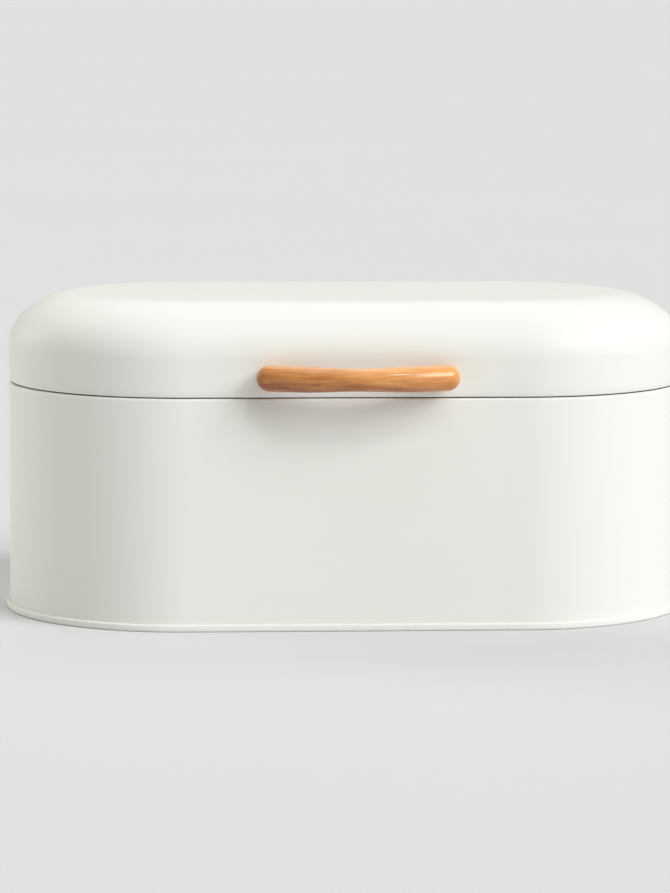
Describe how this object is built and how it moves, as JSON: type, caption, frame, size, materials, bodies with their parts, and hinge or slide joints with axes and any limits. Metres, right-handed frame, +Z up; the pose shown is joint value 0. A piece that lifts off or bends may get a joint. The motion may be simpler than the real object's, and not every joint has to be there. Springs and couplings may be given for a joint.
{
  "type": "bread box",
  "caption": "Oval sheet-steel bread box with a folded-on base, a domed lid hinged at the back and a bowed wooden handle on the lid's front.",
  "frame": {"origin": "on the shelf, under the middle of the closed box's bounding box, handle and hinges included", "axes": "+X along the box, to the right when facing the handle; +Y from the handle's side to the hinges; +Z up"},
  "size_m": [0.4242, 0.2508, 0.197],
  "materials": {
    "coat": "smooth semi-gloss powder coat, warm white",
    "hinge_coat": "the same powder coat, over the welded leaves",
    "wood": "orange-tan hardwood under a semi-gloss lacquer",
    "steel": "plain bright steel"
  },
  "bodies": {
    "body": {"body_wall": "coat", "base_pan": "coat", "hinge_body_leaf_left": "hinge_coat", "hinge_body_leaf_right": "hinge_coat", "hinge_pin_left": "steel", "hinge_pin_right": "steel"},
    "lid": {"lid_shell": "coat", "hinge_lid_leaf_left": "hinge_coat", "hinge_lid_leaf_right": "hinge_coat", "handle": "wood", "handle_screws": "steel", "handle_washers": "steel"}
  },
  "joints": [
    {"name": "lid_hinge", "type": "hinge", "parent": "body", "child": "lid", "pos_m": [0, 0.12086, 0.14175], "axis": [-1, 0, 0], "range_deg": [0, 100]}
  ]
}
